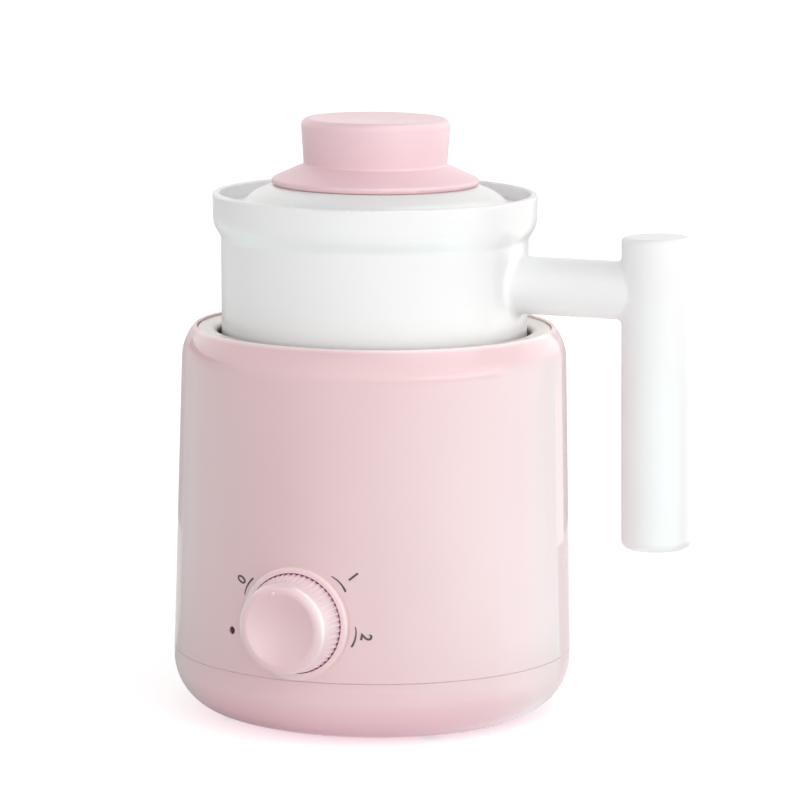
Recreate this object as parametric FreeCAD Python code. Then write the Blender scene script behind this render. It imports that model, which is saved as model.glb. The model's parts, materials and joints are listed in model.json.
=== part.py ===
import FreeCAD, Part
import math
import os

# Mini electric ceramic cooker: a heating base, a ceramic pot with a T handle that lifts out, and a lid.
# Millimetres. Origin on the base's axis, on the surface that it stands on. +Z up.
# The dial faces -Y, the pot's handle points along +X and the power inlet is at the back, +Y.

# Overall sizes
body_radius = 67.5
housing_height = 131.9
seam_height = 22.3
foot_height = 0.8
pot_exposed = 45.0

# Clearances
fit_clearance = 0.05
hole_clearance = 0.2
overcut = 1.0
touch = 0.01

# Housing
wall = 2.5
body_draft = 1.45
seam_gap = 0.12
seam_round = 0.2
shoulder_inset = 6.7
shoulder_drop = 4.8
shoulder_round = 16.0
lip_width = 0.9
lip_round = 0.35
lip_depth = 0.75
ledge_width = 3.6
ledge_thickness = 2.5

# Base cover
base_wall = 3.0
tongue_height = 3.0
tongue_wall = 1.5
tongue_clearance = 0.25
vent_count = 12
vent_inner_radius = 14.0
vent_length = 17.0
vent_width = 2.2

# Foot ring
foot_inset = 22.5
foot_width = 5.0
foot_groove_depth = 1.0
foot_round = 0.5

# Posts and screws that join housing and base cover
post_count = 4
first_post_angle = 45.0
post_inset = 17.5
post_radius = 4.0
post_length = 36.0
post_web = 2.0
post_bore_depth = 16.0
base_screw_recess = 5.0
base_screw_floor = 3.5
base_screw_radius = 1.75
base_screw_length = 14.0
base_screw_head_radius = 3.2
base_screw_head_height = 2.2
base_screw_slot_length = 3.6
base_screw_slot_width = 0.9

# Heating well
flange_width = 6.8
flange_clearance = 0.2
flange_round = 1.6
well_sheet = 0.8
well_floor_round = 6.0

# Heater plate, element and studs
plate_margin = 0.5
plate_thickness = 7.0
plate_round = 1.0
tube_inset = 9.5
tube_radius = 3.25
tube_clearance = 0.15
tube_gap_angle = 60.0
tube_bend = 6.0
tube_below_shield = 5.7
tube_hole_radius = 5.6
terminal_radius = 1.25
terminal_length = 6.0
terminal_tab_width = 6.3
terminal_tab_length = 7.0
tab_sheet = 0.8
stud_count = 3
first_stud_angle = 30.0
stud_inset = 10.5
stud_radius = 2.0
stud_embed = 4.0
stud_proud = 1.5
spacer_radius = 4.0
stud_nut_flats = 7.0
stud_nut_height = 3.2

# Thermostat
thermostat_radius = 8.0
thermostat_height = 9.0
thermostat_bracket_length = 30.0
thermostat_bracket_width = 9.0
thermostat_bracket_sheet = 0.7
thermostat_tab_offset = 4.5
thermostat_tab_width = 6.3
thermostat_tab_length = 6.5
thermostat_screw_offset = 11.5
thermostat_screw_radius = 1.5
thermostat_screw_embed = 4.0
thermostat_screw_head_radius = 2.6
thermostat_screw_head_height = 1.6

# Heat shield
shield_room = 2.1
shield_gap = 5.7
shield_sheet = 0.8
shield_inset = 0.9
shield_rim = 4.0
shield_bend = 0.6
ear_count = 3
first_ear_angle = 90.0
ear_inset = 8.5
ear_width = 9.0
ear_reach = 3.6
ear_round = 2.0
ear_boss_radius = 4.0
ear_boss_height = 10.0
ear_web = 5.0
shield_screw_radius = 1.5
shield_screw_length = 6.0
shield_screw_head_radius = 2.8
shield_screw_head_height = 1.8

# Thermal fuse
fuse_place = (22.0, -12.0)
fuse_radius = 2.3
fuse_length = 14.0
fuse_lead = 4.0
fuse_lead_radius = 0.5
clip_sheet = 0.6
clip_width = 6.0
clip_foot = 3.5

# Dial boss and rotary switch
dial_boss_rise = 0.5
dial_boss_proud = 0.2
dial_boss_depth = 6.7
dial_boss_round = 1.1
dial_ring_width = 2.03
dial_recess_depth = 1.6
dial_pocket_depth = 3.7
dial_pocket_room = 5.0
switch_size = 21.0
switch_depth = 16.0
switch_cover = 2.0
switch_cover_margin = 0.5
switch_round = 2.0
switch_tab_width = 4.8
switch_tab_length = 7.0
switch_tab_spacing = 6.0
bush_radius = 4.5
bush_proud = 1.2
washer_radius = 8.0
washer_thickness = 0.8
switch_nut_flats = 12.0
switch_nut_height = 2.4
shaft_radius = 3.0
shaft_flat = 2.2
shaft_embed = 9.0
shaft_end_gap = 0.5

# Control knob
knob_radius = 16.65
knob_taper = 1.85
knob_gap = 0.12
knob_reach = 11.5
knob_insertion = 0.5
knob_round = 2.6
knob_brow = 0.3
knob_brow_round = 1.2
knob_dish = 2.4
knob_wall = 2.0
knob_hub_radius = 6.2
knob_hub_clearance = 0.8
rib_count = 54
rib_depth = 0.55
rib_groove_radius = 0.8
rib_length = 9.5
pip_radius = 1.0
pip_height = 0.5
pip_angle = -12.8

# Pilot lamp
lamp_gap = 5.7
lamp_drop = 5.3
lens_radius = 1.25
lens_round = 0.6
lens_recess = 0.3
lens_seat_gap = 0.15
lens_flange_radius = 3.0
lens_flange = 1.2
lamp_radius = 2.4
lamp_length = 11.0
lamp_round = 1.0

# Power inlet
inlet_rise = 14.7
inlet_width = 27.0
inlet_tall = 19.5
inlet_depth = 24.0
inlet_chamfer = 5.0
inlet_socket_wall = 1.5
inlet_socket_depth = 17.0
inlet_bezel_margin = 2.0
inlet_bezel_thickness = 1.6
inlet_bezel_round = 3.0
inlet_pad_margin = 2.0
inlet_pad_proud = 0.3
inlet_pad_depth = 6.3
inlet_pad_round = 3.0
pin_thickness = 2.0
pin_width = 4.0
pin_spacing = 7.0
pin_offset = 2.0
pin_reach = 15.0
pin_tail_length = 8.0

# Ceramic pot
pot_slit = 1.0
pot_taper = 0.9
pot_wall = 4.8
pot_floor = 5.0
pot_bottom_round = 8.0
pot_inner_round = 7.0
neck_drop = 14.9
neck_round = 3.0
band_drop = 10.4
band_step = 2.7
band_round = 8.0
rim_flare = 2.9
rim_round = 1.0
rim_wall = 2.4
rim_inner_round = 0.5
ledge_drop = 6.9
ledge_round = 0.7

# T handle
finger_room = 21.25
arm_room = 0.9
arm_radius = 9.7
arm_fillet = 2.9
grip_above_arm = 18.5
grip_length = 104.0
grip_bottom_radius = 11.6
grip_top_radius = 11.5
grip_bottom_round = 3.0
grip_top_round = 1.6
grip_fillet = 2.0
grip_lean = 0.9

# Lid
lid_clearance = 0.7
lid_brim = 2.2
lid_brim_width = 5.2
lid_brim_round = 1.2
lid_dome_rise = 7.4
lid_dome_round = 6.0
lid_flank_inset = 10.4
lid_flank_drop = 2.8
lid_flank_round = 14.0
lid_crown_rise = 2.0
lid_crown_radius = 10.0
lid_wall = 4.2
lid_edge_round = 0.6
lid_spigot_depth = 5.0
lid_spigot_wall = 3.2
lid_inner_round = 3.0
lid_hole_radius = 2.6

# Lid knob and its screw
skirt_radius = 34.9
skirt_thickness = 2.0
skirt_seat = 0.08
skirt_round = 0.95
skirt_rise = 4.8
waist_radius = 24.2
waist_round = 0.6
crown_rise = 15.6
crown_flare = 1.05
crown_round = 2.4
crown_dish = 0.8
crown_wall = 2.4
crown_inner_round = 1.5
crown_boss_radius = 6.0
knob_screw_radius = 1.85
knob_screw_length = 17.0
knob_screw_head_radius = 4.2
knob_screw_head_height = 2.4
knob_screw_head_round = 1.2
knob_washer_radius = 6.5
knob_washer_thickness = 1.0

# Wiring
wire_radius = 1.2
wire_bend = 6.0
tight_bend = 3.0
lamp_wire_radius = 0.7
pin_lead = 16.0
tab_lead = 15.0
wire_hang = 14.0
live_side = 16.0
live_back = 36.0
neutral_reach = 18.0
thermostat_reach = 6.0
fuse_loop = 9.0
fuse_reach = 6.0
fuse_hang = 23.0
terminal_hang = 10.0
earth_place = (-8.0, 18.0)
lamp_loop = 4.0
lamp_side = 22.0
lamp_run = 42.0
lamp_hang = 6.0
lamp_lead = 12.0

# Worked out from the sizes above: housing and base cover
draft_slope = math.tan(math.radians(body_draft))
shoulder_height = housing_height - shoulder_drop
shoulder_radius = body_radius - draft_slope * (shoulder_height - seam_height)
lip_radius = body_radius - shoulder_inset
lip_inner_radius = lip_radius - lip_width
ledge_top = housing_height - lip_depth - well_sheet
tongue_top = seam_height + tongue_height
cover_floor = foot_height + wall
base_round = seam_height - foot_height - base_wall
foot_outer_radius = body_radius - foot_inset
foot_inner_radius = foot_outer_radius - foot_width
post_circle = body_radius - post_inset
base_screw_seat = foot_height + base_screw_recess
post_bottom = base_screw_seat + base_screw_floor
post_top = post_bottom + post_length

# Worked out: dial and switch, as distances from the base's axis
dial_recess_radius = knob_radius + knob_gap
dial_boss_radius = dial_recess_radius + dial_ring_width
dial_height = seam_height + dial_boss_rise + dial_boss_radius
dial_boss_face = body_radius + dial_boss_proud
dial_pocket_radius = washer_radius + dial_pocket_room
dial_pocket_floor = dial_boss_face - dial_pocket_depth
switch_cover_size = switch_size + 2 * switch_cover_margin
switch_seat = dial_boss_face - dial_boss_depth
switch_rear = switch_seat - switch_depth
bush_tip = dial_pocket_floor + washer_thickness + switch_nut_height + bush_proud
knob_rear = dial_boss_face - dial_recess_depth + knob_insertion
knob_front = dial_boss_face + knob_reach
knob_front_radius = knob_radius - knob_taper
knob_face_radius = knob_front_radius - knob_round - knob_brow
knob_inside_front = knob_front - knob_dish - knob_wall
shaft_inner_end = switch_seat - shaft_embed

# Worked out: shield and well, stacked above the switch
flange_radius = lip_inner_radius - flange_clearance
flange_top = ledge_top + well_sheet
well_radius = flange_radius - flange_width
shield_radius = well_radius - shield_inset
shield_under = dial_height + switch_cover_size / 2 + shield_room
shield_top = shield_under + shield_sheet
well_under = shield_top + shield_gap
well_floor = well_under + well_sheet
plate_top = well_floor + plate_thickness
ear_circle = body_radius - ear_inset

# Worked out: ceramic pot
pot_neck_radius = well_radius - pot_slit
pot_bottom_radius = pot_neck_radius - pot_taper
pot_inner_radius = pot_neck_radius - pot_wall
pot_rim_height = housing_height + pot_exposed
pot_rim_radius = pot_neck_radius + rim_flare
rim_inner_radius = pot_rim_radius - rim_wall
pot_ledge = pot_rim_height - ledge_drop
pot_neck_height = pot_rim_height - neck_drop
arm_height = pot_neck_height - arm_room - arm_fillet - arm_radius
grip_axis = body_radius + finger_room + grip_bottom_radius
grip_top = arm_height + grip_above_arm
grip_bottom = grip_top - grip_length

# Worked out: element and studs under the pot
plate_radius = pot_bottom_radius - pot_bottom_round + plate_margin
tube_circle = plate_radius - tube_inset
tube_height = well_floor + tube_radius + tube_clearance
tube_end = shield_under - tube_below_shield
terminal_end = tube_end - terminal_length - terminal_tab_length / 2
stud_circle = tube_circle - stud_inset
stud_tip = shield_under - stud_nut_height - stud_proud
thermostat_bottom = well_floor - thermostat_height
fuse_height = shield_under - fuse_radius - fit_clearance

# Worked out: lamp and inlet
lamp_height = dial_height - lamp_drop
lamp_angle = -math.degrees(math.asin((dial_boss_radius + lamp_gap) / body_radius))
inlet_height = seam_height + inlet_rise
inlet_pad_face = body_radius + inlet_pad_proud
inlet_seat = inlet_pad_face - inlet_pad_depth
inlet_face = inlet_pad_face + inlet_bezel_thickness
inlet_rear = inlet_pad_face - inlet_depth

# Worked out: lid and its knob
lid_brim_radius = rim_inner_radius - lid_clearance
lid_brim_top = pot_ledge + lid_brim
lid_dome_height = lid_brim_top + lid_dome_rise
lid_flank_radius = lid_brim_radius - lid_flank_inset
lid_crown_height = lid_dome_height + lid_crown_rise
lid_under = lid_crown_height - lid_wall
lid_crown_slope = lid_crown_rise / (skirt_radius - lid_crown_radius)
waist_height = lid_dome_height + skirt_seat + skirt_thickness + skirt_rise
crown_height = waist_height + crown_rise
crown_inside = crown_height - crown_dish - crown_wall
knob_screw_seat = lid_under - knob_washer_thickness

ORIGIN = FreeCAD.Vector(0, 0, 0)
X_AXIS = FreeCAD.Vector(1, 0, 0)
Z_AXIS = FreeCAD.Vector(0, 0, 1)
POST_ANGLES = [first_post_angle + 360 / post_count * i for i in range(post_count)]
EAR_ANGLES = [first_ear_angle + 360 / ear_count * i for i in range(ear_count)]
STUD_ANGLES = [first_stud_angle + 360 / stud_count * i for i in range(stud_count)]
SIDES = (-1, 1)
COLUMNS = (-1, 0, 1)


# Shape helpers
def rounded_corner(before, corner, after, radius):
    """Start, middle and end of the arc that rounds a corner between two straight runs."""
    back = (before - corner).normalize()
    ahead = (after - corner).normalize()
    half = back.getAngle(ahead) / 2
    tangent = radius / math.tan(half)
    middle = corner + (back + ahead).normalize() * (radius / math.sin(half) - radius)
    return corner + back * tangent, middle, corner + ahead * tangent


def outline(corners):
    """Face in the XZ plane through (x, z) or (x, z, rounding) corners."""
    places = [FreeCAD.Vector(corner[0], 0, corner[1]) for corner in corners]
    spans = []
    for index, corner in enumerate(corners):
        place = places[index]
        if len(corner) == 2:
            spans.append((place, None, place))
        else:
            after = places[(index + 1) % len(places)]
            spans.append(rounded_corner(places[index - 1], place, after, corner[2]))
    edges = []
    for index, (start, middle, stop) in enumerate(spans):
        if middle is not None:
            edges.append(Part.Arc(start, middle, stop).toShape())
        following = spans[(index + 1) % len(spans)][0]
        if stop.distanceToPoint(following) > 1e-6:
            edges.append(Part.LineSegment(stop, following).toShape())
    return Part.Face(Part.Wire(edges))


def turned(corners):
    """Solid of revolution about Z from (radius, height) or (radius, height, rounding) corners."""
    return outline(corners).revolve(ORIGIN, Z_AXIS, 360)


def rod(radius, low, high):
    """Cylinder on Z."""
    return Part.makeCylinder(radius, high - low, FreeCAD.Vector(0, 0, low))


def tube(outer, inner, low, high):
    """Hollow cylinder on Z."""
    return turned([(inner, low), (outer, low), (outer, high), (inner, high)])


def bar_x(radius, low, high):
    """Cylinder on X."""
    return Part.makeCylinder(radius, high - low, FreeCAD.Vector(low, 0, 0), X_AXIS)


def block(width, depth, low, high):
    """Box centred on Z."""
    return Part.makeBox(width, depth, high - low, FreeCAD.Vector(-width / 2, -depth / 2, low))


def rounded_block(width, depth, low, high, rounding):
    """Box centred on Z with its upright edges rounded."""
    solid = block(width, depth, low, high)
    upright = [edge for edge in solid.Edges if abs(edge.tangentAt(edge.FirstParameter).z) > 0.99]
    return solid.makeFillet(rounding, upright)


def prism(corners, low, high):
    """Straight-sided solid along Z from (x, y) corners."""
    points = [FreeCAD.Vector(x, y, low) for x, y in corners]
    return Part.Face(Part.makePolygon(points + points[:1])).extrude(FreeCAD.Vector(0, 0, high - low))


def hexagon(flats, low, high):
    """Six-sided prism on Z."""
    corner = flats / math.sqrt(3)
    angles = [math.radians(60 * i) for i in range(6)]
    return prism([(corner * math.cos(angle), corner * math.sin(angle)) for angle in angles], low, high)


def flatted_rod(radius, flat, low, high):
    """Cylinder on Z with one flat, facing +Y."""
    off = block(4 * radius, 2 * radius, low - overcut, high + overcut)
    return rod(radius, low, high).cut(moved(off, y=flat + radius))


def swept(path, radius):
    """Round bar along a smooth path."""
    first = path.Edges[0]
    start = first.valueAt(first.FirstParameter)
    section = Part.Wire(Part.makeCircle(radius, start, first.tangentAt(first.FirstParameter)))
    return path.makePipeShell([section], True, False)


def wire(points, radius=wire_radius, bend=wire_bend):
    """Round bar along straight runs joined by tangent arcs."""
    places = [FreeCAD.Vector(*point) for point in points]
    edges = []
    start = places[0]
    for before, corner, after in zip(places, places[1:], places[2:]):
        arc = rounded_corner(before, corner, after, bend)
        edges.append(Part.LineSegment(start, arc[0]).toShape())
        edges.append(Part.Arc(*arc).toShape())
        start = arc[2]
    edges.append(Part.LineSegment(start, places[-1]).toShape())
    return swept(Part.Wire(edges), radius)


def moved(shape, x=0.0, y=0.0, z=0.0):
    return shape.translated(FreeCAD.Vector(x, y, z))


def turned_to(shape, angle):
    return shape.rotated(ORIGIN, Z_AXIS, angle)


def at_polar(shape, radius, angle):
    """Shape moved out along X by a radius, then turned about Z by an angle."""
    return turned_to(moved(shape, x=radius), angle)


def round_pattern(shape, radius, angles):
    return [at_polar(shape, radius, angle) for angle in angles]


def facing_front(shape, height):
    """Shape built along +Z, with +Y as its top, laid down to face -Y at a height."""
    return moved(shape.rotated(ORIGIN, X_AXIS, 90), z=height)


def dial_place(shape):
    return facing_front(shape, dial_height)


def lamp_place(shape):
    return turned_to(facing_front(shape, lamp_height), lamp_angle)


def inlet_place(shape):
    return turned_to(facing_front(shape, inlet_height), 180)


def edges_where(shape, test):
    """Edges on which every sampled point passes the test."""
    whole = [edge for edge in shape.Edges if not edge.Degenerated]
    return [edge for edge in whole if all(test(point) for point in edge.discretize(9))]


def axis_distance(point):
    return math.hypot(point.x, point.y)


def off(point, x=0.0, y=0.0, z=0.0):
    return (point[0] + x, point[1] + y, point[2] + z)


def export(name, *solids):
    shape = solids[0] if len(solids) == 1 else Part.makeCompound(list(solids))
    shape.exportStep("parts/" + name + ".step")


# Housing
def body_radius_at(height):
    """Outer radius of the drafted wall."""
    return body_radius - draft_slope * (height - seam_height)


def housing_shell():
    """Drafted wall, rounded shoulder, lip, and the inner ledge that carries the well."""
    seam = seam_height + seam_gap / 2
    ledge_under = ledge_top - ledge_thickness
    shoulder_inside = ledge_under - shoulder_round
    return turned([
        (body_radius, seam, seam_round),
        (shoulder_radius, shoulder_height, shoulder_round),
        (lip_radius, housing_height, lip_round),
        (lip_inner_radius, housing_height, lip_round),
        (lip_inner_radius, ledge_top),
        (lip_inner_radius - ledge_width, ledge_top),
        (lip_inner_radius - ledge_width, ledge_under),
        (lip_inner_radius, ledge_under, wall / 2),
        (body_radius_at(shoulder_inside) - wall, shoulder_inside, shoulder_round),
        (body_radius - wall, seam),
    ])


def housing_post():
    """Screw post on a web, inside the wall at +X."""
    web_length = body_radius - wall / 2 - post_circle
    web_foot = tongue_top + overcut
    web = Part.makeBox(web_length, post_web, post_top - web_foot, FreeCAD.Vector(0, -post_web / 2, web_foot))
    return rod(post_radius, post_bottom, post_top).fuse(web)


def ear_boss():
    """Short boss on a web for one ear of the heat shield, inside the wall at +X."""
    boss_top = shield_top + ear_boss_height
    web_length = body_radius_at(boss_top) - wall / 2 - ear_circle
    web = Part.makeBox(web_length, ear_web, ear_boss_height, FreeCAD.Vector(0, -ear_web / 2, shield_top))
    return rod(ear_boss_radius, shield_top, boss_top).fuse(web)


def dial_boss():
    return dial_place(turned([
        (0, switch_seat),
        (dial_boss_radius, switch_seat),
        (dial_boss_radius, dial_boss_face, dial_boss_round),
        (0, dial_boss_face),
    ]))


def dial_cut():
    """Recess for the knob, pocket for the nut, and hole for the switch's bush."""
    hole = bush_radius + hole_clearance
    recess_floor = dial_boss_face - dial_recess_depth
    return dial_place(turned([
        (0, switch_seat - overcut),
        (hole, switch_seat - overcut),
        (hole, dial_pocket_floor),
        (dial_pocket_radius, dial_pocket_floor),
        (dial_pocket_radius, recess_floor),
        (dial_recess_radius, recess_floor),
        (dial_recess_radius, dial_boss_face + overcut),
        (0, dial_boss_face + overcut),
    ]))


def inlet_pad():
    margin = 2 * (inlet_bezel_margin + inlet_pad_margin)
    width = inlet_width + margin
    tall = inlet_tall + margin
    return inlet_place(rounded_block(width, tall, inlet_seat, inlet_pad_face, inlet_pad_round))


def inlet_cut():
    room = 2 * hole_clearance
    low = inlet_seat - wall
    return inlet_place(block(inlet_width + room, inlet_tall + room, low, inlet_pad_face + overcut))


def housing():
    below_seam = rod(2 * body_radius, 0, seam_height + seam_gap / 2)
    tongue_room = rod(body_radius - wall, 0, tongue_top + tongue_clearance)
    trim = below_seam.fuse(tongue_room)
    added = [dial_boss().cut(trim), inlet_pad().cut(trim)]
    added += round_pattern(housing_post(), post_circle, POST_ANGLES)
    added += round_pattern(ear_boss(), ear_circle, EAR_ANGLES)
    lamp_hole = rod(lens_radius + fit_clearance, body_radius - 3 * wall, body_radius + overcut)
    post_bore = rod(base_screw_radius + fit_clearance, post_bottom - overcut, post_bottom + post_bore_depth)
    ear_bore_top = shield_top + shield_screw_length + overcut
    ear_bore = rod(shield_screw_radius + fit_clearance, shield_top - overcut, ear_bore_top)
    cuts = [dial_cut(), inlet_cut(), lamp_place(lamp_hole)]
    cuts += round_pattern(post_bore, post_circle, POST_ANGLES)
    cuts += round_pattern(ear_bore, ear_circle, EAR_ANGLES)
    return housing_shell().multiFuse(added).cut(Part.makeCompound(cuts))


# Base cover
def base_cover():
    seam = seam_height - seam_gap / 2
    tongue_outer = body_radius_at(tongue_top) - wall - tongue_clearance
    tongue_inner = tongue_outer - tongue_wall
    dish = turned([
        (0, foot_height),
        (body_radius, foot_height, base_round),
        (body_radius, seam, seam_round),
        (tongue_outer, seam),
        (tongue_outer, tongue_top),
        (tongue_inner, tongue_top),
        (tongue_inner, seam - tongue_wall),
        (body_radius - wall, seam - 2 * tongue_wall),
        (body_radius - wall, cover_floor, base_round - wall),
        (0, cover_floor),
    ])
    boss = rod(post_radius + wall / 2, foot_height + wall / 2, post_bottom)
    solid = dish.multiFuse(round_pattern(boss, post_circle, POST_ANGLES))
    through = rod(base_screw_radius + hole_clearance, 0, post_bottom + overcut)
    well = through.fuse(rod(base_screw_head_radius + hole_clearance, 0, base_screw_seat))
    groove_top = foot_height + foot_groove_depth
    groove = tube(foot_outer_radius + fit_clearance, foot_inner_radius - fit_clearance, 0, groove_top)
    slot_ends = [moved(rod(vent_width / 2, 0, cover_floor + overcut), x=x) for x in (0, vent_length)]
    slot_middle = moved(block(vent_length, vent_width, 0, cover_floor + overcut), x=vent_length / 2)
    slot = slot_middle.multiFuse(slot_ends)
    vent_angles = [360 / vent_count * i for i in range(vent_count)]
    cuts = [groove]
    cuts += round_pattern(well, post_circle, POST_ANGLES)
    cuts += round_pattern(slot, vent_inner_radius, vent_angles)
    return solid.cut(Part.makeCompound(cuts))


def foot_ring():
    return turned([
        (foot_inner_radius, 0, foot_round),
        (foot_outer_radius, 0, foot_round),
        (foot_outer_radius, foot_height + foot_groove_depth),
        (foot_inner_radius, foot_height + foot_groove_depth),
    ])


def base_screw():
    """Screw on Z, driven from below, with a cross slot in its head."""
    head_low = base_screw_seat - base_screw_head_height
    head = rod(base_screw_head_radius, head_low, base_screw_seat)
    slot_top = head_low + base_screw_head_height / 2
    slot = block(base_screw_slot_length, base_screw_slot_width, head_low - overcut, slot_top)
    shank = rod(base_screw_radius, base_screw_seat, base_screw_seat + base_screw_length)
    return shank.fuse(head).cut(slot.fuse(turned_to(slot, 90)))


# Heating well, heater plate and element
def tube_leg_places():
    """Where the element's two ends go down, one each side of the back."""
    places = []
    for side in SIDES:
        angle = math.radians(90 + side * tube_gap_angle / 2)
        x = tube_circle * math.cos(angle) + side * tube_bend * math.sin(angle)
        y = tube_circle * math.sin(angle) - side * tube_bend * math.cos(angle)
        places.append((x, y))
    return places


def floor_holes(low, high, centre_radius):
    """Holes that the thermostat, the element's ends and the studs pass through."""
    leg_hole = rod(tube_hole_radius, low - overcut, high + overcut)
    stud_hole = rod(stud_radius + hole_clearance, low - overcut, high + overcut)
    holes = [rod(centre_radius, low - overcut, high + overcut)]
    holes += [moved(leg_hole, x, y) for x, y in tube_leg_places()]
    holes += round_pattern(stud_hole, stud_circle, STUD_ANGLES)
    return holes


def heating_well():
    """Drawn metal well that hangs in the housing by its flange."""
    outer = well_radius + well_sheet
    shell = turned([
        (0, well_under),
        (outer, well_under, well_floor_round + well_sheet),
        (outer, ledge_top, flange_round),
        (flange_radius, ledge_top),
        (flange_radius, flange_top, well_sheet / 2),
        (well_radius, flange_top, flange_round + well_sheet),
        (well_radius, well_floor, well_floor_round),
        (0, well_floor),
    ])
    bracket_room = thermostat_bracket_length / 2 + overcut
    return shell.cut(Part.makeCompound(floor_holes(well_under, well_floor, bracket_room)))


def heater_plate():
    """Cast disc with a groove for the element and blind bores on its underside."""
    disc = turned([
        (0, well_floor),
        (plate_radius, well_floor),
        (plate_radius, plate_top, plate_round),
        (0, plate_top),
    ])
    low = well_floor - overcut
    half_groove = tube_radius + tube_clearance
    groove_top = tube_height + half_groove
    leg_room = rod(tube_hole_radius, low, groove_top)
    stud_bore = rod(stud_radius + fit_clearance, low, well_floor + stud_embed + fit_clearance)
    screw_top = well_floor + thermostat_screw_embed + fit_clearance
    screw_bore = rod(thermostat_screw_radius + fit_clearance, low, screw_top)
    cuts = [tube(tube_circle + half_groove, tube_circle - half_groove, low, groove_top)]
    cuts += [moved(leg_room, x, y) for x, y in tube_leg_places()]
    cuts += round_pattern(stud_bore, stud_circle, STUD_ANGLES)
    cuts += [moved(screw_bore, x=side * thermostat_screw_offset) for side in SIDES]
    return disc.cut(Part.makeCompound(cuts))


def tube_ring_point(angle):
    return FreeCAD.Vector(tube_circle * math.cos(angle), tube_circle * math.sin(angle), tube_height)


def tube_leg(angle, side):
    """Bend and straight run that take one end of the element down."""
    start = tube_ring_point(angle)
    along = FreeCAD.Vector(side * math.sin(angle), -side * math.cos(angle), 0)
    half_turn = math.sqrt(0.5)
    middle = start + along * tube_bend * half_turn - Z_AXIS * tube_bend * (1 - half_turn)
    low = start + along * tube_bend - Z_AXIS * tube_bend
    end = FreeCAD.Vector(low.x, low.y, tube_end)
    return [Part.Arc(start, middle, low).toShape(), Part.LineSegment(low, end).toShape()]


def heating_tube():
    """Sheathed ring element, open at the back, whose ends bend down through the well's floor."""
    first = math.radians(90 + tube_gap_angle / 2)
    last = math.radians(450 - tube_gap_angle / 2)
    quarters = [first + (last - first) * i / 4 for i in range(5)]
    points = [tube_ring_point(angle) for angle in quarters]
    edges = [Part.Arc(*points[0:3]).toShape(), Part.Arc(*points[2:5]).toShape()]
    edges += tube_leg(first, 1) + tube_leg(last, -1)
    return swept(Part.Wire(Part.__sortEdges__(edges)), tube_radius)


def heater_terminal():
    """Cold pin with a flat tab, on Z under one end of the element."""
    pin_low = tube_end - terminal_length
    tab = block(terminal_tab_width, tab_sheet, terminal_end, terminal_end + terminal_tab_length)
    return rod(terminal_radius, pin_low, tube_end).fuse(tab)


def stud_nut():
    low = shield_under - stud_nut_height
    return hexagon(stud_nut_flats, low, shield_under).cut(rod(stud_radius + fit_clearance, low, shield_under))


# Heat shield
def heat_shield():
    """Pressed pan with a turned-up rim and flat ears."""
    inner = shield_radius - shield_sheet
    pan = turned([
        (0, shield_under),
        (shield_radius, shield_under, shield_bend + shield_sheet),
        (shield_radius, shield_top + shield_rim),
        (inner, shield_top + shield_rim),
        (inner, shield_top, shield_bend),
        (0, shield_top),
    ])
    ear_outer = ear_circle + ear_reach
    ear_length = ear_outer - inner + ear_width / 2
    ear = rounded_block(ear_length, ear_width, shield_under, shield_top, ear_round)
    ears = round_pattern(ear, ear_outer - ear_length / 2, EAR_ANGLES)
    ear_hole = rod(shield_screw_radius + hole_clearance, shield_under - overcut, shield_top + overcut)
    holes = floor_holes(shield_under, shield_top, thermostat_radius + 2 * overcut)
    holes += round_pattern(ear_hole, ear_circle, EAR_ANGLES)
    return pan.multiFuse(ears).cut(Part.makeCompound(holes))


def shield_screw():
    head = rod(shield_screw_head_radius, shield_under - shield_screw_head_height, shield_under)
    return rod(shield_screw_radius, shield_under, shield_top + shield_screw_length).fuse(head)


# Thermostat and thermal fuse
def thermostat():
    """Snap-disc body against the plate, with its bracket and two tabs."""
    bracket_low = well_floor - thermostat_bracket_sheet
    bracket = block(thermostat_bracket_length, thermostat_bracket_width, bracket_low, well_floor)
    tab_low = thermostat_bottom - thermostat_tab_length
    tab = block(tab_sheet, thermostat_tab_width, tab_low, thermostat_bottom)
    tabs = [moved(tab, x=side * thermostat_tab_offset) for side in SIDES]
    hole = rod(thermostat_screw_radius + hole_clearance, bracket_low - overcut, well_floor + overcut)
    holes = [moved(hole, x=side * thermostat_screw_offset) for side in SIDES]
    body = rod(thermostat_radius, thermostat_bottom, well_floor)
    return body.multiFuse([bracket] + tabs).cut(Part.makeCompound(holes))


def thermostat_screw():
    seat = well_floor - thermostat_bracket_sheet
    head = rod(thermostat_screw_head_radius, seat - thermostat_screw_head_height, seat)
    return rod(thermostat_screw_radius, seat, well_floor + thermostat_screw_embed).fuse(head)


def thermal_fuse():
    """Sleeved cut-out lying along X under the shield, with its leads."""
    half = fuse_length / 2
    sleeve = bar_x(fuse_radius, -half, half)
    lead = bar_x(fuse_lead_radius, -half - fuse_lead, half + fuse_lead)
    return moved(sleeve.fuse(lead), *fuse_place, fuse_height)


def fuse_clip():
    """Saddle strap round the fuse, with a foot on each side against the shield."""
    inner = fuse_radius + fit_clearance
    outer = inner + clip_sheet
    half = clip_width / 2
    saddle = bar_x(outer, -half, half)
    cheeks = block(clip_width, 2 * outer, 0, inner)
    feet = block(clip_width, 2 * (outer + clip_foot), inner - clip_sheet, inner)
    hollow = bar_x(inner, -half - overcut, half + overcut)
    throat = block(clip_width + 2 * overcut, 2 * inner, 0, inner + overcut)
    clip = saddle.multiFuse([cheeks, feet]).cut(hollow.fuse(throat))
    return moved(clip, *fuse_place, fuse_height)


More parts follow.
